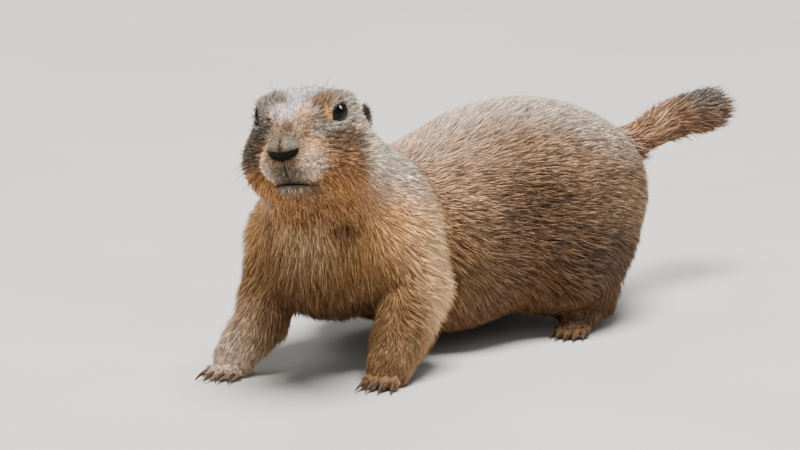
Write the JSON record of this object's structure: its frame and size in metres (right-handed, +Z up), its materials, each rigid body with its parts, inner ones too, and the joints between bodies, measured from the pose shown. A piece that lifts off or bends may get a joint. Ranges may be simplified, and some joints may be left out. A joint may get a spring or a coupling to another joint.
{
  "type": "prairie dog",
  "caption": "Life-size still model of a prairie dog on all fours, head raised and turned, heavy rump, low belly, digging claws and short bushy tail held up behind.",
  "frame": {"origin": "on the floor, under the middle of the box round the whole animal", "axes": "+Z up; the trunk lies along X with the head towards -X and the tail towards +X; the animal's left side faces -Y"},
  "size_m": [0.3457, 0.116, 0.1293],
  "materials": {
    "coat_head": "short dense fur, grey-brown crown with dark cheek streaks and ochre cheeks",
    "coat_body": "short fur, grizzled grey-brown above, ochre below",
    "coat_limb": "short buff fur",
    "coat_tail": "longer brown fur with a dark tip",
    "ear_skin": "thin matte skin with very short fur",
    "eye": "wet glossy near-black",
    "nose_skin": "matte dark skin",
    "claw": "satin dark horn",
    "whisker": "stiff dark hair"
  },
  "bodies": {
    "root": {"head": "coat_head", "eye_left": "eye", "eye_right": "eye", "ear_left": "ear_skin", "ear_right": "ear_skin", "neck": "coat_body", "chest": "coat_body", "abdomen": "coat_body", "rump": "coat_body", "tail": "coat_tail", "upper_arm_left": "coat_limb", "forearm_left": "coat_limb", "forepaw_left": "coat_limb", "upper_arm_right": "coat_limb", "forearm_right": "coat_limb", "forepaw_right": "coat_limb", "thigh_left": "coat_body", "shank_left": "coat_limb", "hindpaw_left": "coat_limb", "thigh_right": "coat_body", "shank_right": "coat_limb", "hindpaw_right": "coat_limb"}
  },
  "joints": []
}
